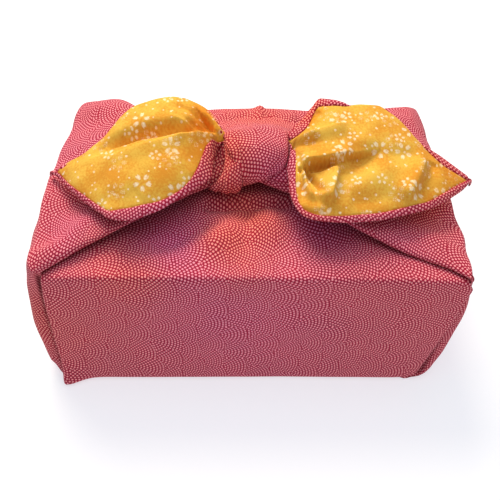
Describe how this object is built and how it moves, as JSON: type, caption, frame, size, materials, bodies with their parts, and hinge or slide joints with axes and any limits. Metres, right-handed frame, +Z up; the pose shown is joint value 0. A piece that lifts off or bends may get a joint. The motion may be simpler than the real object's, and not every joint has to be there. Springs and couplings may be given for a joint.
{
  "type": "furoshiki wrap",
  "caption": "Reversible square cloth wrapped round a box form and tied on top, its front and back flaps folded over, with tails spread as ears that show a yellow lining.",
  "frame": {"origin": "middle of the flat base, on the surface the bundle rests on", "axes": "+X along the long side, to the right seen from the front; +Y to the back; +Z up to the knot"},
  "size_m": [0.2439, 0.1544, 0.141],
  "materials": {
    "red_cloth": "plain-woven cotton, crimson with fine pale dots in overlapping fans, matt",
    "yellow_lining": "plain-woven cotton, golden yellow with small pale blossoms, matt"
  },
  "bodies": {
    "root": {"outer_cloth": "red_cloth", "lining_left": "yellow_lining", "lining_right": "yellow_lining"}
  },
  "joints": []
}
